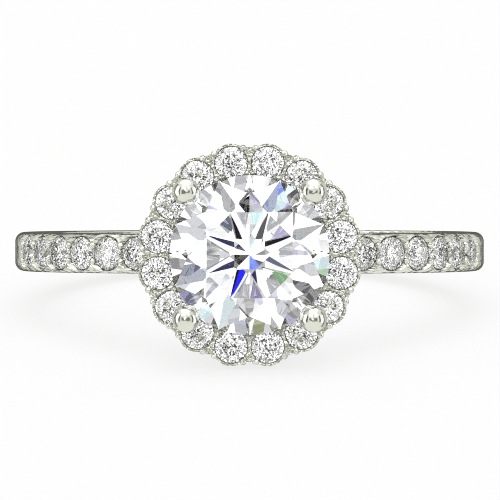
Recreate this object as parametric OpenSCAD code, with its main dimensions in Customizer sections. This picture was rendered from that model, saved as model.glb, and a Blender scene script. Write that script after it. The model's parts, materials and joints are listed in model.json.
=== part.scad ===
// A halo ring: a round brilliant in four ball-tipped prongs, a scalloped halo of small
// brilliants round it, and a slim band with more of them down both shoulders.
// The head is modelled upright, with the finger hole's axis along Y and the head on +Z.
// The finished ring lies on its side, on the shank's edge and the two lowest halo scallops.

/* [Band] */
// Inside diameter of the finger hole
finger_d = 16.5; // [14:0.1:21]
// Thickness of the band, from the finger hole to its outside
band_t = 1.7; // [1.5:0.05:2.2]
// Width of the band along the finger
band_w = 1.65; // [1.6:0.05:2.4]
// Radius of the band's outer corners
band_round = 0.4; // [0.3:0.05:0.6]
// Radius of the finger hole's edges
hole_round = 0.15; // [0.1:0.05:0.3]

/* [Brilliant cut] */
// Width of the table, as a share of the stone's diameter
table_share = 0.58; // [0.53:0.01:0.62]
// Slope of the crown's main facets in degrees
crown_angle = 34.5; // [32:0.5:36]
// Slope of the pavilion's main facets in degrees
pavilion_angle = 40.8; // [40:0.1:42]
// Thickness of the girdle, as a share of the stone's diameter
girdle_share = 0.03; // [0.02:0.005:0.05]
// How far the star facets reach from the table to the girdle, as a share
star_share = 0.5; // [0.4:0.05:0.6]
// How far the lower girdle facets reach from the girdle to the point, as a share
lower_share = 0.77; // [0.7:0.01:0.85]
// Turn in degrees from one small stone to the next, as a setter leaves them
stone_turn = 17; // [0:1:45]

/* [Centre stone] */
// Diameter of the centre stone
centre_d = 6.5; // [5:0.1:7.5]
// Height of its girdle above the band's outside
centre_rise = 3; // [2.9:0.05:4]

/* [Halo] */
// Diameter of a halo stone
halo_d = 1.34; // [1.1:0.02:1.5]
// Least room between neighbouring halo stones
halo_gap = 0.12; // [0.1:0.02:0.3]
// How far the centre stone reaches over the halo stones
halo_overlap = 0.11; // [0:0.01:0.2]
// Depth of the halo stones' girdle below that of the centre stone
halo_drop = 0.35; // [0.3:0.05:0.6]
// Metal round the outside of each halo stone
halo_rim = 0.12; // [0.08:0.01:0.2]
// Reach of the plate between two scallops, past the middles of the stones
halo_fill = 0.58; // [0.4:0.01:0.65]
// Thickness of the halo plate
halo_t = 1.1; // [0.9:0.05:1.5]
// Metal inside the halo stones, down to the plate's opening
halo_inner_rim = 0.4; // [0.3:0.05:0.6]
// Diameter of the beads on the halo's outer edge
outer_bead_d = 0.28; // [0.18:0.01:0.3]
// Diameter of the beads between the halo and the centre stone
inner_bead_d = 0.2; // [0.16:0.01:0.22]

/* [Shoulders] */
// Number of stones down each shoulder
shoulder_count = 6; // [1:1:9]
// Diameter of a shoulder stone
shoulder_d = 1.36; // [1.1:0.02:1.4]
// Room between neighbouring shoulder stones
shoulder_gap = 0.12; // [0.1:0.01:0.3]
// Place of the first stone's middle, outside the halo's rim
shoulder_start = 0.15; // [0.1:0.05:1]
// How far a shoulder stone's table stands above the band's outside
shoulder_proud = 0.02; // [0:0.01:0.06]
// Slope in degrees of the bright-cut wall round each shoulder stone
bright_cut_angle = 50; // [40:5:65]
// Diameter of the beads that hold the shoulder stones
shoulder_bead_d = 0.3; // [0.24:0.02:0.36]
// Distance of those beads from the band's middle
shoulder_bead_y = 0.33; // [0.28:0.01:0.4]
// Depth of those beads' middles below the band's outside
shoulder_bead_sink = 0.11; // [0.06:0.01:0.14]

/* [Head] */
// Diameter of a prong's ball tip
ball_d = 1.12; // [0.9:0.02:1.2]
// How far a ball tip reaches over the edge of the centre stone
ball_overlap = 0.15; // [0.1:0.01:0.2]
// Height of a ball tip's middle above the girdle of the centre stone
ball_rise = 0.45; // [0.4:0.05:0.6]
// Diameter of the prong wires
wire_d = 0.8; // [0.6:0.05:0.9]
// Diameter of the wire of the base rail
rail_wire_d = 0.92; // [0.9:0.02:1.1]
// Radius of the base rail, along the middle of its wire
rail_r = 1.25; // [1:0.05:1.6]
// Depth of the base rail's middle below the band's outside
rail_sink = 0.1; // [0:0.05:0.3]

/* [Fit] */
// Gap between each stone and its metal
stone_gap = 0.025; // [0.02:0.005:0.04]
// Diameter of the light hole behind each halo stone
light_hole_d = 0.6; // [0.4:0.05:0.8]

/* [Hidden] */
$fn = 64;
metal = [0.79, 0.79, 0.75];
diamond = [0.9, 0.94, 1];

hole_r = finger_d / 2;
band_r = hole_r + band_t;
band_half = band_w / 2;

// A brilliant has eight main facets, with a half step from each to the facets between them
mains = 8;
step = 360 / mains;
half = step / 2;
quarter = step / 4;

centre_r = centre_d / 2;
centre_z = band_r + centre_rise;
// Straight pieces of the girdle in one girdle facet
centre_pieces = 4;
small_pieces = 1;

// The halo has the same number of stones between each two prongs
prongs = 4;
prong_turn = 360 / prongs;
first_prong = prong_turn / 2;
halo_r = centre_r + halo_d / 2 - halo_overlap;
halo_pitch_min = 2 * asin((halo_d + halo_gap) / 2 / halo_r);
halo_per_prong = floor(prong_turn / halo_pitch_min);
halo_count = prongs * halo_per_prong;
halo_pitch = 360 / halo_count;
halo_z = centre_z - halo_drop;
halo_back = halo_z - halo_t;
lobe_r = halo_d / 2 + halo_rim;
fill_r = halo_r + halo_fill;
halo_outer_r = halo_r + lobe_r;
halo_open_r = halo_r - halo_d / 2 - halo_inner_rim;

// Half the distance between two neighbouring halo stones, and how far out its middle lies
halo_half_chord = halo_r * sin(halo_pitch / 2);
halo_chord_r = halo_r * cos(halo_pitch / 2);
// A bead's middle lies clear of its stone's edge by this share of the bead's radius
bead_stand = 0.75;
outer_bead_r = fill_r - outer_bead_d / 6;
outer_bead_x = bead_x(outer_bead_r, outer_bead_d);
inner_bead_r = centre_r + inner_bead_d / 2 - stone_gap;
inner_bead_x = bead_x(inner_bead_r, inner_bead_d);

shoulder_pitch = 2 * atan((shoulder_d + shoulder_gap) / 2 / band_r);
shoulder_first = asin((halo_outer_r + shoulder_start) / band_r);
shoulder_sink = table_h(shoulder_d) - shoulder_proud;

ball_r = ball_d / 2;
ball_out = centre_r + ball_r - ball_overlap;
ball_z = centre_z + ball_rise;
rail_z = band_r - rail_sink;

// The ring leans on the back edge of its lowest halo scallops and on the shank's corner
halo_low = max(fill_r, lobe_r + max([for (i = [0:halo_count - 1]) -halo_r * sin(halo_angle(i))]));
corner_z = band_r - band_round;
corner_y = band_half - band_round;
rest_run = halo_back + corner_z;
rest_drop = halo_low - corner_y;
rest_tilt = atan(rest_drop / rest_run) - asin(band_round / norm([rest_run, rest_drop]));
rest_lift = halo_low * cos(rest_tilt) - halo_back * sin(rest_tilt);
ball_low = ball_out * sin(first_prong);
front_ball = ball_low * sin(rest_tilt) + ball_z * cos(rest_tilt) + ball_r;
table_z = centre_z + table_h(centre_d);
front_table = centre_r * table_share * sin(rest_tilt) + table_z * cos(rest_tilt);
front = max(front_ball, front_table);
back = corner_y * sin(rest_tilt) + corner_z * cos(rest_tilt) + band_round;
rest_shift = (front - back) / 2;

sides = ["left", "right"];

function halo_name(i) = str("halo_stone_", i < 9 ? "0" : "", i + 1);
function shoulder_name(side, i) = str("shoulder_stone_", side, "_", i + 1);
function halo_angle(i) = first_prong + (i + 0.5) * halo_pitch;
function side_sign(side) = side == "left" ? -1 : 1;

// Sideways place of a halo bead at distance r from the head's axis, just outside its stone's edge
function bead_x(r, d) = halo_half_chord
    - sqrt(pow(halo_d / 2 + bead_stand * d / 2, 2) - pow(r - halo_chord_r, 2));

// Heights in a brilliant of diameter d, from the middle of its girdle
function girdle_h(d) = girdle_share * d / 2;
function table_h(d) = girdle_h(d) + d / 2 * (1 - table_share) * tan(crown_angle);
function culet_h(d) = -girdle_h(d) - d / 2 * tan(pavilion_angle);
function star_r(d) = d / 2 * (star_share + (1 - star_share) * table_share * cos(half));
function star_h(d) = table_h(d) - (star_r(d) * cos(half) - d / 2 * table_share) * tan(crown_angle);
function lower_r(d) = d / 2 * (1 - lower_share);
function lower_h(d) = culet_h(d) + lower_r(d) * cos(half) * tan(pavilion_angle);

// How far a girdle facet's plane falls between its two corners on a round girdle
function scallop(d, r, h, angle) =
    let (slope = (abs(h) - girdle_h(d)) / ((d / 2 - r) * cos(quarter)))
    slope * d / 2 * (cos(angle % half - quarter) - cos(quarter));

function ring_of(count, r, z, start) =
    [for (i = [0:count - 1]) [r * cos(start + i * 360 / count), r * sin(start + i * 360 / count), z]];

// A round brilliant with its girdle's middle at the origin and its table up.
// Each girdle facet meets the round girdle in a number of straight pieces.
module brilliant(d, pieces) {
    r = d / 2;
    g = 2 * mains * pieces;
    turn = 360 / g;
    girdle_top = [for (i = [0:g - 1])
        [r * cos(i * turn), r * sin(i * turn), girdle_h(d) - scallop(d, star_r(d), star_h(d), i * turn)]];
    girdle_low = [for (i = [0:g - 1])
        [r * cos(i * turn), r * sin(i * turn), scallop(d, lower_r(d), lower_h(d), i * turn) - girdle_h(d)]];
    star = mains;
    top = 2 * mains;
    low = top + g;
    lower = low + g;
    culet = lower + mains;
    polyhedron(
        points = concat(
            ring_of(mains, r * table_share, table_h(d), 0),
            ring_of(mains, star_r(d), star_h(d), half),
            girdle_top,
            girdle_low,
            ring_of(mains, lower_r(d), lower_h(d), half),
            [[0, 0, culet_h(d)]]
        ),
        faces = concat(
            [[for (k = [mains - 1:-1:0]) k]],
            [for (k = [0:mains - 1]) [k, (k + 1) % mains, star + k]],
            [for (k = [0:mains - 1])
                [k, star + k, top + 2 * pieces * k, star + (k + mains - 1) % mains]],
            [for (k = [0:mains - 1]) for (side = [0, 1])
                concat([star + k], [for (j = [pieces:-1:0]) top + ((2 * k + side) * pieces + j) % g])],
            [for (i = [0:g - 1]) [low + i, top + i, top + (i + 1) % g, low + (i + 1) % g]],
            [for (k = [0:mains - 1]) for (side = [0, 1])
                concat([lower + k], [for (j = [0:pieces]) low + ((2 * k + side) * pieces + j) % g])],
            [for (k = [0:mains - 1])
                [culet, lower + (k + mains - 1) % mains, low + 2 * pieces * k, lower + k]]
        ),
        convexity = 2
    );
}

// The room that a brilliant of diameter d takes in the metal, its gap included
module stone_room(d) {
    rotate_extrude() polygon([
        [0, culet_h(d) - 2 * stone_gap],
        [lower_r(d) + stone_gap, lower_h(d) - stone_gap],
        [d / 2 + stone_gap, -girdle_h(d) - stone_gap],
        [d / 2 + stone_gap, girdle_h(d) + stone_gap],
        [star_r(d) + stone_gap, star_h(d) + stone_gap],
        [d / 2 * table_share + stone_gap, table_h(d) + stone_gap],
        [0, table_h(d) + stone_gap]
    ]);
}

// What a bright cut takes away round a brilliant's crown. It widens upwards from the girdle.
module bright_wall(d) {
    low = -girdle_h(d);
    top = 2 * table_h(d);
    wall_r = d / 2 + stone_gap;
    flare = 1 / tan(bright_cut_angle);
    translate([0, 0, low])
        cylinder(r1 = wall_r + low * flare, r2 = wall_r + top * flare, h = top - low);
}

module at_rest() {
    translate([0, rest_shift, rest_lift]) rotate([90 - rest_tilt, 0, 0]) children();
}

module at_centre() {
    translate([0, 0, centre_z]) rotate([0, 0, half]) children();
}

module at_halo(i) {
    rotate([0, 0, halo_angle(i)]) translate([halo_r, 0, halo_z]) children();
}

module at_shoulder(side, place) {
    rotate([0, side_sign(side) * (shoulder_first + place * shoulder_pitch), 0])
        translate([0, 0, band_r]) children();
}

module at_seats() {
    for (side = sides) for (i = [0:shoulder_count - 1])
        at_shoulder(side, i) translate([0, 0, -shoulder_sink]) children();
}

module at_prong(i) {
    rotate([0, 0, first_prong + i * prong_turn]) children();
}

// The band's section, with rounded outer corners and eased edges at the finger
module band_section() {
    difference() {
        translate([hole_r, -band_half]) square([band_t, band_w]);
        for (side = [-1, 1]) {
            corner_cut([band_r, side * band_half], [-1, -side], band_round);
            corner_cut([hole_r, side * band_half], [1, -side], hole_round);
        }
    }
}

// What a rounding of radius r takes off the corner at a point, towards which the inside lies
module corner_cut(point, inside, r) {
    translate(point) mirror([inside[0] < 0 ? 1 : 0, 0]) mirror([0, inside[1] < 0 ? 1 : 0])
        difference() {
            translate([-r, -r]) square(2 * r);
            translate([r, r]) circle(r);
        }
}

module band() {
    difference() {
        rotate([90, 0, 0]) rotate_extrude() band_section();
        at_seats() bright_wall(shoulder_d);
    }
}

// The beads' poles point along the band, clear of the ridge between two seats
module shoulder_beads() {
    for (side = sides) for (i = [0:shoulder_count]) for (y = [-shoulder_bead_y, shoulder_bead_y])
        at_shoulder(side, i - 0.5) translate([0, y, -shoulder_bead_sink]) rotate([0, 90, 0])
            sphere(d = shoulder_bead_d);
}

module shoulders() {
    difference() {
        union() {
            band();
            shoulder_beads();
        }
        at_seats() stone_room(shoulder_d);
    }
}

module halo_outline() {
    difference() {
        union() {
            circle(fill_r);
            for (i = [0:halo_count - 1])
                rotate(halo_angle(i)) translate([halo_r, 0]) circle(lobe_r);
        }
        circle(halo_open_r);
    }
}

module halo_beads() {
    for (i = [0:halo_count - 1]) rotate([0, 0, first_prong + i * halo_pitch]) for (side = [-1, 1]) {
        translate([outer_bead_r, side * outer_bead_x, halo_z]) sphere(d = outer_bead_d);
        translate([inner_bead_r, side * inner_bead_x, halo_z]) sphere(d = inner_bead_d);
    }
}

module halo_plate() {
    translate([0, 0, halo_back]) linear_extrude(halo_t) halo_outline();
}

// A straight wire from the base rail up into its ball tip
module prong() {
    run = ball_out - rail_r;
    rise = ball_z - rail_z;
    translate([rail_r, 0, rail_z]) rotate([0, atan2(run, rise), 0])
        cylinder(d = wire_d, h = norm([run, rise]));
    translate([ball_out, 0, ball_z]) sphere(d = ball_d);
}

module base_rail() {
    translate([0, 0, rail_z]) rotate_extrude() translate([rail_r, 0]) circle(d = rail_wire_d);
}

module head() {
    difference() {
        union() {
            halo_plate();
            halo_beads();
            base_rail();
            for (i = [0:prongs - 1]) at_prong(i) prong();
        }
        at_centre() stone_room(centre_d);
        for (i = [0:halo_count - 1]) at_halo(i) {
            stone_room(halo_d);
            translate([0, 0, -halo_t - stone_gap]) cylinder(d = light_hole_d, h = halo_t);
        }
    }
}

module setting() {
    color(metal) {
        shoulders();
        head();
    }
}

module centre_stone() {
    color(diamond) at_centre() brilliant(centre_d, centre_pieces);
}

module halo_stone(i) {
    color(diamond) at_halo(i) rotate([0, 0, i * stone_turn]) brilliant(halo_d, small_pieces);
}

module shoulder_stone(side, i) {
    color(diamond) at_shoulder(side, i) translate([0, 0, -shoulder_sink])
        rotate([0, 0, i * stone_turn]) brilliant(shoulder_d, small_pieces);
}

at_rest() setting();
at_rest() centre_stone();
for (i = [0:halo_count - 1])
    at_rest() halo_stone(i);
for (side = sides) for (i = [0:shoulder_count - 1])
    at_rest() shoulder_stone(side, i);
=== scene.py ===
"""Looks of a halo ring that lies on its side: white gold, cut stones, a pale studio and its camera."""
import json
import math

import bpy
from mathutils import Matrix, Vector

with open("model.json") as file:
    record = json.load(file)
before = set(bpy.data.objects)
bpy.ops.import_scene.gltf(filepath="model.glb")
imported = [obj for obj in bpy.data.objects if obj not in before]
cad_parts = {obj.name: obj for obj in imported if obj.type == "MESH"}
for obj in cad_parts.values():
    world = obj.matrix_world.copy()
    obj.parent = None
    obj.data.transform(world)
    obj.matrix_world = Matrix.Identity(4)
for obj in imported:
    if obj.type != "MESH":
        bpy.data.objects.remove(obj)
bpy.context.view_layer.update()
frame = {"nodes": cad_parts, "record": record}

# Lengths are in metres unless a comment says millimetres, and angles are in degrees.
MM = 0.001

# The picture: where the centre stone's girdle sits in it, and how large it is there
IMAGE_SIDE = 500
STONE_X = 249.5
STONE_Y = 255.0
PIXELS_PER_METRE = 24600
CAMERA_DISTANCE = 0.2884
CAMERA_ABOVE_HEAD = 0.65
CAMERA_CLIP = (0.01, 10)
SENSOR = 36

# The studio: a white table lit partly from below
FLOOR_SIDE = 6
FLOOR_COLOUR = (0.2, 0.198, 0.206)
FLOOR_GLOW = 0.755
BACKDROP = 0.985

# What the metal mirrors: a plain room, and patches of it by azimuth, elevation, half width, half height
# and soft edge, each over the ones before
ROOM = (0.90, 0.915, 0.85)
OLIVE = (0.23, 0.235, 0.20)
SHADE = (0.11, 0.115, 0.095)
PALE = (0.92, 0.93, 0.88)
LAMP = (2.1, 2.1, 2.05)
ROOM_PATCHES = [
    (0, 90, 360, 26, 8, LAMP),
    (0, -90, 360, 50, 10, PALE),
    (0, 6, 34, 11, 5, OLIVE),
    (-58, 8, 5, 25, 3, SHADE),
    (58, 8, 5, 25, 3, SHADE),
    (-104, 0, 8, 40, 4, OLIVE),
    (104, 0, 8, 40, 4, OLIVE),
    (-80, 6, 10, 24, 4, LAMP),
    (84, 2, 10, 22, 4, LAMP),
    (-24, 44, 20, 8, 4, LAMP),
    (34, 46, 10, 8, 4, LAMP),
    (180, 0, 14, 38, 8, SHADE),
]
# Narrow dark stripes behind the ring on either side, which liven the ends of its shoulders
STRIPES = (120, 135, 150)
for side in (-1, 1):
    ROOM_PATCHES += [(side * azimuth, 0, 1.5, 40, 2, SHADE) for azimuth in STRIPES]

# What the centre stone mirrors: bright cloth, with dark and tinted cards on it
CLOTH = (1.5, 1.5, 1.5)
UNDER_STONE = (0.04, 0.04, 0.05)
BLACK = (0.01, 0.01, 0.012)
DIM = (0.16, 0.16, 0.165)
ASH = (0.28, 0.28, 0.285)
GREY = (0.42, 0.42, 0.43)
SILVER = (0.70, 0.71, 0.74)
STEEL = (0.40, 0.43, 0.52)
SLATE = (0.20, 0.22, 0.32)
NAVY = (0.045, 0.05, 0.14)
BLUE = (0.03, 0.03, 1.6)
SKY_BLUE = (0.25, 0.38, 1.3)
SMOKE_BLUE = (0.34, 0.40, 0.62)
LAVENDER = (0.42, 0.38, 0.60)
PALE_LAVENDER = (0.75, 0.71, 1.0)
PALE_BLUE = (0.55, 0.64, 0.95)
PURPLE = (0.20, 0.17, 0.42)
KHAKI = (0.42, 0.45, 0.26)
CYAN = (1.0, 1.45, 1.45)
PALE_CYAN = (0.9, 1.1, 1.15)
MIST = (0.68, 0.82, 0.85)
PALE_GREEN = (0.55, 0.74, 0.50)
GREEN = (0.35, 0.62, 0.33)

# Cards whose edge cuts an arrow of the stone lengthwise: turn of the arrow, covered side, colour, and how
# far aside the cut passes the arrow's tip and its root, in millimetres towards the covered side
CUT_CARD = 3
CUT_EDGE = 0.006
# How far out the tip and the root lie, in millimetres
TIP = 1.85
ROOT = 0.75
ARROWS = [
    (22.5, 1, BLACK, 0.03, 0.05),
    (67.5, -1, DIM, 0.0, -0.05),
    (112.5, 1, BLACK, 0.05, -0.01),
    (157.5, -1, NAVY, 0.05, 0.02),
    (202.5, 1, NAVY, 0.02, -0.06),
    (247.5, -1, BLUE, 0.01, -0.13),
    (247.5, -1, BLACK, 0.03, 0.12),
    (292.5, -1, NAVY, 0.35, 0.0),
    (337.5, 1, SLATE, 0.03, 0.02),
]
# The same for the points of the arrows, at the middle of the stone
POINTS = [
    (22.5, -1, GREY, 0, 0),
    (67.5, 1, PALE_CYAN, 0, 0),
    (157.5, -1, NAVY, 0, 0),
    (337.5, -1, DIM, 0, 0),
]
# The cloth is plain up to this angle from the head's axis, and has patches beyond it: how fine they are,
# and the share of chance at which each colour begins
PLAIN_CLOTH = 50
PATCH_SCALE = 24.0
PATCHES = ((0, CLOTH), (0.74, SILVER), (0.80, GREY), (0.88, DIM), (0.95, BLACK))
# It is dark beyond this angle, where the outer faces of the crown mirror it, and fades over this much
# of the cosine
CLOTH_END = 66
CLOTH_FADE = 0.02
# Round cards: angle from the head's axis, angle round it from the right, radius, colour, each over the
# ones before
CARD_EDGE = 0.3
CARDS = [
    (0, 0, 4, BLACK),
    (5.5, 153, 1.5, GREY),
    (5, 120, 1, SILVER),
    (6, 185, 1.5, BLACK),
    (6, 355, 1.5, PALE_LAVENDER),
    (6, 16, 1.2, PALE_LAVENDER),
    (8.5, 250, 1.7, MIST),
    (9.5, 206, 1.8, STEEL),
    (10, 66, 1.5, SMOKE_BLUE),
    (10, 161, 1.2, SILVER),
    (10, 19, 1.2, GREY),
    (10, 114, 1.2, GREY),
    (17, 62, 1.6, DIM),
    (17.5, 73, 1.2, STEEL),
    (17, 118, 1.6, GREY),
    (17.5, 107, 1.2, GREY),
    (18, 153, 1.6, STEEL),
    (17, 46, 1.2, SILVER),
    (17, 162, 1.2, GREY),
    (17.5, 338, 0.9, GREY),
    (17.5, 316, 1.4, SILVER),
    (17.5, 294, 1.4, SILVER),
    (23, 30, 1.6, SKY_BLUE),
    (22, 26, 1.2, DIM),
    (25, 28, 1.4, PALE_GREEN),
    (23, 115, 2, PALE_CYAN),
    (26, 108, 1.5, GREY),
    (22.5, 167, 1.4, GREY),
    (22, 198, 1.8, SILVER),
    (25, 196, 1.3, STEEL),
    (22.5, 242, 1.8, SILVER),
    (23, 253, 2, GREY),
    (23, 252, 1, SLATE),
    (23.5, 150, 1, GREY),
    (23, 287, 1, SILVER),
    (23, 207, 1.2, SILVER),
    (25, 344, 1.6, SILVER),
    (26.5, 64, 1.4, GREY),
    (30, 61, 1.6, PALE_BLUE),
    (29, 150, 2, GREY),
    (31, 240, 1.8, SILVER),
    (31, 255, 1.3, GREY),
    (29.5, 119, 1.2, LAVENDER),
    (33.5, 236, 1.2, SILVER),
    (26, 255, 1.2, STEEL),
    (27, 332, 1.2, LAVENDER),
    (34, 170, 1.3, GREY),
    (38, 321, 1.3, DIM),
    (43, 13, 1.5, STEEL),
    (55, 142, 1.5, PALE_LAVENDER),
    (33.5, 281, 2.4, SILVER),
    (33, 303, 2, LAVENDER),
    (33, 325, 1.4, DIM),
    (35, 330, 1.5, SILVER),
    (33, 347, 2, GREEN),
    (36, 12, 1.2, PALE_LAVENDER),
    (34, 31, 1.6, SILVER),
    (36, 33, 1.2, DIM),
    (36, 58, 2.5, CYAN),
    (35.5, 76, 2, SILVER),
    (36, 104, 2, SLATE),
    (34, 121, 1.5, LAVENDER),
    (36, 122, 1.2, SILVER),
    (36, 147, 1.3, DIM),
    (33.4, 149.5, 1.1, GREY),
    (34, 166, 1.8, ASH),
    (35, 210, 1.5, BLACK),
    (33, 215, 1.2, PURPLE),
    (35.5, 214, 1, SILVER),
    (39, 21, 1.8, DIM),
    (40, 69, 2.2, SILVER),
    (40, 111, 0.9, DIM),
    (39, 159.5, 1.3, SLATE),
    (40.5, 156, 1.1, SILVER),
    (40, 248, 2.4, GREY),
    (40, 292, 2, PALE_CYAN),
    (40.5, 338, 1.3, SILVER),
    (39, 337, 1.1, KHAKI),
    (40, 202, 1.6, SILVER),
    (42, 90, 3, BLACK),
    (44, 78, 2, DIM),
    (43.5, 102, 1.5, DIM),
    (45, 22, 2.5, BLACK),
    (45, 113, 2.5, SKY_BLUE),
    (54, 127, 2, DIM),
    (63, 166, 2, DIM),
    (63, 192, 2, DIM),
    (63, 347, 2, LAVENDER),
]

# What the small stones mirror: a patchwork all round, which fades out behind the head
SMALL_PATCH_SCALE = 22.0
SMALL_PATCHES = ((0, CLOTH), (0.46, SILVER), (0.52, GREY), (0.62, BLACK))
SMALL_FADE = (-0.3, -0.5)

# The metal
GOLD_LIGHT = (0.86, 0.86, 0.82)
GOLD_DEEP = (0.76, 0.77, 0.71)
# Painted shade: the darker colour the metal is given in crevices, such as between stones and beads, where
# ambient occlusion finds it closed in
PAINTED_CREVICE_SHADE = (0.60, 0.61, 0.54)
CREVICE_REACH = 0.00025
CREVICE_SAMPLES = 8
# From how closed to how open a place is a crevice, over which the painted shade fades out
CREVICE_OPENING = (0.1, 0.6)
WAVE_SCALE = 1600.0
WAVE_DEPTH = 0.00004
# How much of that depth is left on the sides and the back, which are plainly polished
POLISHED_WAVE = 0.1
GRAIN_SCALE = 7000.0
GRAIN_DEPTH = 0.00008
# Along the shoulders the grain is drawn out into streaks, which are deeper
STREAK_STRETCH = (0.3, 0.3, 1.0)
STREAK_GAIN = 1.5
POLISH = (0.10, 0.18)
GRAIN_RANGE = (0.3, 0.7)
CUT_ROUGHNESS = 0.10
# Where the cut fronts are: how far a face looks along the head's axis, how far above the halo's stones
# they end, how far past the last shoulder stone they end, and how far aside the shoulders begin
FRONT_FACING = (0.05, 0.25)
ABOVE_HALO = (0.0002, 0.0001)
PAST_SHOULDER = (-0.0012, -0.0002)
SHOULDER_BEGIN = (0.0046, 0.0048)

# The stones
DIAMOND_IOR = 2.417
CROWN = 34.5
PAVILION = 40.8
STONE_TINT = (0.985, 0.99, 1.0)
STONE_CLEAR = (1.0, 1.0, 1.0)
TINT_SCALE = 700.0
SMALL_STONE_ROUGHNESS = 0.012
GLITTER_SCALE = 12500.0
GLITTER_TILT = 0.16

# The render
BOUNCES = 32
GLOSSY_BOUNCES = 16
PIXEL_FILTER = 1.0


def bore_axis():
    """A point on the finger hole's axis, and the way it points."""
    mount = next(m for m in frame["record"]["mounts"] if m["name"] == "finger_bore")
    return Vector(mount["pos_m"]), Vector(mount["axis"]).normalized()


def head_line():
    """Which way the head points, the centre of the stone's girdle, and the height of its table above that."""
    start, across = bore_axis()
    out = Vector((1, 0, 0)).cross(across).normalized()
    out = out if out.y < 0 else -out
    corners = [v.co for v in frame["nodes"]["centre_stone"].data.vertices]
    widest = max(corners, key=lambda p: (p - start).cross(out).length)
    girdle = start + out * (widest - start).dot(out)
    return out, girdle, max((p - girdle).dot(out) for p in corners)


RIGHT = Vector((1, 0, 0))
OUT, GIRDLE, TABLE_HEIGHT = head_line()
UP = OUT.cross(RIGHT)


def direction(azimuth, elevation):
    """Unit vector towards a place in the studio. Azimuth 0 is where the camera stands, and 90 is +X."""
    a, e = math.radians(azimuth), math.radians(elevation)
    return Vector((math.sin(a) * math.cos(e), -math.cos(a) * math.cos(e), math.sin(e)))


def from_head(away, around):
    """Unit vector at an angle from the head's axis, and at an angle round it from the right."""
    t, a = math.radians(away), math.radians(around)
    return (RIGHT * math.cos(a) + UP * math.sin(a)) * math.sin(t) + OUT * math.cos(t)


CAMERA_WAY = direction(0, math.degrees(math.asin(OUT.z)) + CAMERA_ABOVE_HEAD)
CAMERA_UP = CAMERA_WAY.cross(RIGHT)
STONE_ASIDE = RIGHT * (IMAGE_SIDE / 2 - STONE_X) + CAMERA_UP * (STONE_Y - IMAGE_SIDE / 2)
AIM = GIRDLE + STONE_ASIDE / PIXELS_PER_METRE
CAMERA_PLACE = AIM + CAMERA_WAY * CAMERA_DISTANCE


def refract(ray, normal, ratio):
    """A ray after it crosses a facet whose normal meets it. Ratio is the index before over that after."""
    c = -ray.dot(normal)
    return ray * ratio + normal * (ratio * c - math.sqrt(1 - ratio * ratio * (1 - c * c)))


def reflect(ray, normal):
    """A ray after a facet mirrors it."""
    return ray - normal * (2 * ray.dot(normal))


def seen_through(turn, out, aside, slope):
    """Where the camera looks by way of a place on the table and two opposite pavilion facets.

    The place is given by the turn of the arrow, how far out and how far aside it lies. Slope is that of
    the facet where the light leaves.
    """
    spot = GIRDLE + OUT * TABLE_HEIGHT + from_head(90, turn) * out + from_head(90, turn + 90) * aside
    ray = (spot - CAMERA_PLACE).normalized()
    ray = refract(ray, OUT, 1 / DIAMOND_IOR)
    ray = reflect(ray, from_head(180 - PAVILION, turn))
    ray = reflect(ray, from_head(180 - PAVILION, turn + 180))
    return refract(ray, -from_head(slope, turn + 180), DIAMOND_IOR)


def cut_card(turn, side, at_tip, at_root, slope):
    """The way to a card whose edge is seen along a cut through an arrow, and which covers that side of it."""
    tip = seen_through(turn, TIP * MM, at_tip * side * MM, slope)
    root = seen_through(turn, ROOT * MM, at_root * side * MM, slope)
    covered = seen_through(turn, TIP * MM, side * MM, slope)
    middle = (tip + root).normalized()
    across = middle.cross(root - tip).normalized()
    if across.dot(covered - middle) < 0:
        across = -across
    a = math.radians(CUT_CARD)
    return middle * math.cos(a) + across * math.sin(a)


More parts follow.
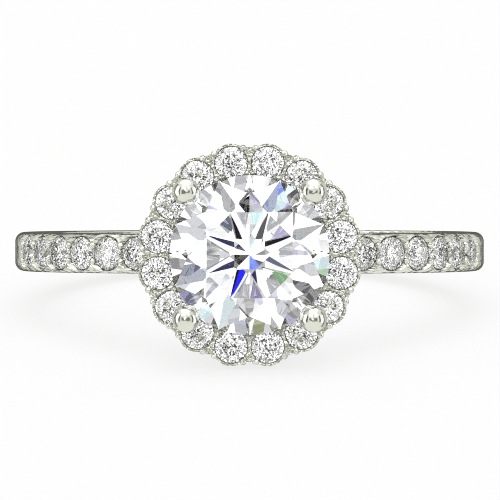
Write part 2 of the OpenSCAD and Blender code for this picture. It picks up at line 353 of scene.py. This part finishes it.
class Tree:
    """A node tree with short calls to add nodes and join them."""

    # Sockets of the mixing node's colours, which share their names with its other sockets
    MIX_INPUTS = (6, 7)
    MIX_OUTPUT = 2

    def __init__(self, owner):
        owner.use_nodes = True
        self.tree = owner.node_tree
        self.tree.nodes.clear()

    def add(self, kind, settings=None, **inputs):
        """A node of that kind, with its settings, and values or links for its named inputs."""
        made = self.tree.nodes.new(kind)
        for name, value in (settings or {}).items():
            setattr(made, name, value)
        for name, value in inputs.items():
            self.feed(made, name.replace("_", " "), value)
        return made

    def feed(self, made, name, value):
        """Link a socket to an input, or set its value."""
        socket = made.inputs[int(name) if name.isdigit() else name]
        if isinstance(value, bpy.types.NodeSocket):
            self.tree.links.new(value, socket)
        else:
            socket.default_value = value

    def maths(self, operation, *values):
        made = self.add("ShaderNodeMath", {"operation": operation})
        for index, value in enumerate(values):
            self.feed(made, str(index), value)
        return made.outputs[0]

    def vector(self, operation, *values):
        made = self.add("ShaderNodeVectorMath", {"operation": operation})
        for index, value in enumerate(values):
            self.feed(made, str(index), value)
        return made.outputs[0]

    def dot(self, vector, way):
        made = self.add("ShaderNodeVectorMath", {"operation": "DOT_PRODUCT"})
        self.feed(made, "0", vector)
        self.feed(made, "1", way)
        return made.outputs["Value"]

    def smooth(self, value, start, end, low=0.0, high=1.0):
        """A soft step from low to high, as the value goes from start to end."""
        made = self.add("ShaderNodeMapRange", {"interpolation_type": "SMOOTHSTEP"}, Value=value)
        for name, number in (("From Min", start), ("From Max", end), ("To Min", low), ("To Max", high)):
            made.inputs[name].default_value = number
        return made.outputs[0]

    def blend(self, share, first, second):
        """One colour where the share is 0, and the other where it is 1."""
        made = self.add("ShaderNodeMix", {"data_type": "RGBA"})
        self.feed(made, "0", share)
        for index, value in zip(self.MIX_INPUTS, (first, second)):
            if isinstance(value, bpy.types.NodeSocket):
                self.tree.links.new(value, made.inputs[index])
            else:
                made.inputs[index].default_value = (*value, 1)
        return made.outputs[self.MIX_OUTPUT]

    def disc(self, ray, way, radius, edge):
        """1 where the ray points within an angle of a way, and 0 outside its edge."""
        inner = math.cos(math.radians(radius - edge / 2))
        outer = math.cos(math.radians(radius + edge / 2))
        return self.smooth(self.dot(ray, way), outer, inner)

    def patchwork(self, ray, scale, stops):
        """Flat patches, each with a colour by chance: a stop holds the chance at which its colour begins."""
        cells = self.add("ShaderNodeTexVoronoi", {"feature": "F1"}, Vector=ray, Scale=scale)
        chance = self.add("ShaderNodeSeparateColor", None, Color=cells.outputs["Color"])
        ramp = self.add("ShaderNodeValToRGB", None, Fac=chance.outputs[0])
        ramp.color_ramp.interpolation = "CONSTANT"
        elements = ramp.color_ramp.elements
        while len(elements) < len(stops):
            elements.new(0.5)
        for element, (place, colour) in zip(elements, stops):
            element.position = place
            element.color = (*colour, 1)
        return ramp.outputs[0]


def room_light(t, ray):
    """The room as the metal mirrors it, and as it lights the floor."""
    across = t.dot(ray, (1, 0, 0))
    front = t.dot(ray, (0, -1, 0))
    azimuth = t.maths("DEGREES", t.maths("ARCTAN2", across, front))
    elevation = t.maths("DEGREES", t.maths("ARCSINE", t.dot(ray, (0, 0, 1))))
    light = ROOM
    for centre, height, half_width, half_height, edge, colour in ROOM_PATCHES:
        aside = t.maths("ABSOLUTE", t.maths("SUBTRACT", azimuth, centre))
        aside = t.maths("MINIMUM", aside, t.maths("SUBTRACT", 360, aside))
        above = t.maths("ABSOLUTE", t.maths("SUBTRACT", elevation, height))
        across_it = t.smooth(aside, half_width + edge, half_width)
        up_it = t.smooth(above, half_height + edge, half_height)
        light = t.blend(t.maths("MULTIPLY", across_it, up_it), light, colour)
    return light


def centre_light(t, ray):
    """The cloth and the cards round the camera, as the centre stone mirrors them."""
    near = t.dot(ray, OUT)
    plain = t.maths("GREATER_THAN", near, math.cos(math.radians(PLAIN_CLOTH)))
    light = t.blend(plain, t.patchwork(ray, PATCH_SCALE, PATCHES), CLOTH)

    def card(way, radius, edge, colour):
        nonlocal light
        light = t.blend(t.disc(ray, way, radius, edge), light, colour)

    for away, around, radius, colour in CARDS:
        card(from_head(away, around), radius, CARD_EDGE, colour)
    for group, slope in ((ARROWS, CROWN), (POINTS, 0)):
        for turn, side, colour, at_tip, at_root in group:
            card(cut_card(turn, side, at_tip, at_root, slope), CUT_CARD, CUT_EDGE, colour)
    end = math.cos(math.radians(CLOTH_END))
    return t.blend(t.smooth(near, end, end - CLOTH_FADE), light, UNDER_STONE)


def small_light(t, ray):
    """A patchwork of bright and dark cloth, as the small stones mirror it."""
    light = t.patchwork(ray, SMALL_PATCH_SCALE, SMALL_PATCHES)
    return t.blend(t.smooth(t.dot(ray, OUT), *SMALL_FADE), light, DIM)


def make_world():
    """A studio with its own dressing for the metal, the centre stone and the small stones."""
    world = bpy.data.worlds.new("studio")
    bpy.context.scene.world = world
    t = Tree(world)
    ray = t.add("ShaderNodeTexCoord").outputs["Generated"]
    path = t.add("ShaderNodeLightPath").outputs
    light = t.blend(path["Is Transmission Ray"], room_light(t, ray), small_light(t, ray))
    light = t.blend(path["Is Singular Ray"], light, centre_light(t, ray))
    light = t.blend(path["Is Camera Ray"], light, (BACKDROP, BACKDROP, BACKDROP))
    background = t.add("ShaderNodeBackground", Color=light)
    t.add("ShaderNodeOutputWorld", Surface=background.outputs[0])


def make_floor():
    """A plain pale floor, which the ring's stones and metal don't mirror."""
    half = FLOOR_SIDE / 2
    mesh = bpy.data.meshes.new("floor")
    corners = [(-half, -half, 0), (half, -half, 0), (half, half, 0), (-half, half, 0)]
    mesh.from_pydata(corners, [], [(0, 1, 2, 3)])
    floor = bpy.data.objects.new("floor", mesh)
    bpy.context.collection.objects.link(floor)
    floor.visible_glossy = False
    floor.visible_transmission = False
    material = bpy.data.materials.new("floor")
    t = Tree(material)
    shader = t.add("ShaderNodeBsdfPrincipled")
    shader.inputs["Base Color"].default_value = (*FLOOR_COLOUR, 1)
    shader.inputs["Roughness"].default_value = 1
    shader.inputs["Specular IOR Level"].default_value = 0
    shader.inputs["Emission Color"].default_value = (1, 1, 1, 1)
    shader.inputs["Emission Strength"].default_value = FLOOR_GLOW
    t.add("ShaderNodeOutputMaterial", Surface=shader.outputs[0])
    mesh.materials.append(material)


def make_camera():
    """A camera that sees the centre stone where the picture has it, and as large."""
    data = bpy.data.cameras.new("camera")
    data.sensor_width = SENSOR
    data.lens = PIXELS_PER_METRE * CAMERA_DISTANCE * SENSOR / IMAGE_SIDE
    data.clip_start, data.clip_end = CAMERA_CLIP
    camera = bpy.data.objects.new("camera", data)
    camera.location = CAMERA_PLACE
    camera.rotation_mode = "QUATERNION"
    camera.rotation_quaternion = (-CAMERA_WAY).to_track_quat("-Z", "Y")
    bpy.context.collection.objects.link(camera)
    bpy.context.scene.camera = camera


def cut_fronts(t, place, front):
    """1 on the fronts of the halo and the shoulders, which are lively with small cuts, and 0 elsewhere."""
    def reach(name):
        return [(v.co - GIRDLE).dot(OUT) for v in frame["nodes"][name].data.vertices]

    height = t.dot(t.vector("SUBTRACT", place, GIRDLE), OUT)
    top = max(reach("halo_stone_01"))
    last = min(min(reach(name)) for name in frame["nodes"] if name.startswith("shoulder"))
    below = t.smooth(height, *(top + margin for margin in ABOVE_HALO))
    above = t.smooth(height, *(last + margin for margin in PAST_SHOULDER))
    return t.maths("MULTIPLY", t.maths("MULTIPLY", below, above), front)


def noise(t, place, scale, detail):
    return t.add("ShaderNodeTexNoise", Vector=place, Scale=scale, Detail=detail).outputs["Fac"]


def white_gold():
    """White gold: polished, with a grain on its cut fronts, streaks on the shoulders and painted shade
    darkening its crevices.
    """
    material = bpy.data.materials.new("white_gold")
    t = Tree(material)
    place = t.add("ShaderNodeTexCoord").outputs["Object"]
    facing = t.add("ShaderNodeNewGeometry").outputs["Normal"]
    front = t.smooth(t.dot(facing, OUT), *FRONT_FACING)
    cut = cut_fronts(t, place, front)

    cloud = noise(t, place, WAVE_SCALE, 2.0)
    speck = noise(t, place, GRAIN_SCALE, 1.0)
    streak = noise(t, t.vector("MULTIPLY", place, STREAK_STRETCH), GRAIN_SCALE, 1.0)
    shoulder = t.smooth(t.maths("ABSOLUTE", t.dot(place, RIGHT)), *SHOULDER_BEGIN)
    halo_grain = t.maths("MULTIPLY", speck, t.maths("SUBTRACT", 1.0, shoulder))
    shoulder_grain = t.maths("MULTIPLY", t.maths("MULTIPLY", streak, STREAK_GAIN), shoulder)
    grain = t.maths("MULTIPLY", t.maths("ADD", halo_grain, shoulder_grain), cut)
    swell = t.maths("MULTIPLY", cloud, t.maths("MAXIMUM", front, POLISHED_WAVE))
    wave = t.add("ShaderNodeBump", Height=swell, Strength=1.0, Distance=WAVE_DEPTH).outputs[0]
    bump = t.add("ShaderNodeBump", Height=grain, Strength=1.0, Distance=GRAIN_DEPTH, Normal=wave).outputs[0]

    # Painted shade: ambient occlusion blends the colour towards the darker crevice shade where the metal is
    # closed in
    occlusion = t.add("ShaderNodeAmbientOcclusion", {"samples": CREVICE_SAMPLES}, Distance=CREVICE_REACH)
    openness = t.smooth(occlusion.outputs["AO"], *CREVICE_OPENING)
    colour = t.blend(openness, PAINTED_CREVICE_SHADE, t.blend(cloud, GOLD_DEEP, GOLD_LIGHT))
    rough = t.smooth(speck, *GRAIN_RANGE, *POLISH)
    rough = t.maths("ADD", rough, t.maths("MULTIPLY", cut, CUT_ROUGHNESS))
    shader = t.add("ShaderNodeBsdfPrincipled", Base_Color=colour, Roughness=rough, Normal=bump)
    shader.inputs["Metallic"].default_value = 1
    t.add("ShaderNodeOutputMaterial", Surface=shader.outputs[0])
    return material


def glitter(t, place, tilt):
    """The normal of a facet's outside, leaned at random in small patches."""
    cells = t.add("ShaderNodeTexVoronoi", {"feature": "F1"}, Vector=place, Scale=GLITTER_SCALE)
    surface = t.add("ShaderNodeNewGeometry").outputs
    lean = t.vector("SUBTRACT", cells.outputs["Color"], (0.5, 0.5, 0.5))
    outside = t.maths("SUBTRACT", 1.0, surface["Backfacing"])
    lean = t.vector("MULTIPLY", lean, t.maths("MULTIPLY", outside, tilt))
    return t.vector("NORMALIZE", t.vector("ADD", surface["Normal"], lean))


def diamond(name, roughness, tilt):
    """Clear cut stone. A tilt makes it glitter, as a small stone does."""
    material = bpy.data.materials.new(name)
    t = Tree(material)
    place = t.add("ShaderNodeTexCoord").outputs["Object"]
    tint = t.blend(noise(t, place, TINT_SCALE, 2.0), STONE_TINT, STONE_CLEAR)
    shader = t.add("ShaderNodeBsdfPrincipled", Base_Color=tint)
    shader.inputs["Roughness"].default_value = roughness
    shader.inputs["IOR"].default_value = DIAMOND_IOR
    shader.inputs["Transmission Weight"].default_value = 1
    if tilt:
        t.feed(shader, "Normal", glitter(t, place, tilt))
    t.add("ShaderNodeOutputMaterial", Surface=shader.outputs[0])
    return material


def dress(node, material):
    node.data.materials.clear()
    node.data.materials.append(material)


def make_looks():
    """A material for each of the frame's nodes."""
    own = {"setting": white_gold(), "centre_stone": diamond("centre_stone", 0, 0)}
    small = diamond("small_stones", SMALL_STONE_ROUGHNESS, GLITTER_TILT)
    for name, node in frame["nodes"].items():
        dress(node, own.get(name, small))


def set_render():
    scene = bpy.context.scene
    scene.view_settings.view_transform = "Standard"
    scene.cycles.max_bounces = BOUNCES
    scene.cycles.transmission_bounces = BOUNCES
    scene.cycles.glossy_bounces = GLOSSY_BOUNCES
    scene.cycles.transparent_max_bounces = GLOSSY_BOUNCES
    scene.cycles.use_denoising = True
    scene.cycles.filter_width = PIXEL_FILTER


make_camera()
make_world()
make_floor()
make_looks()
set_render()
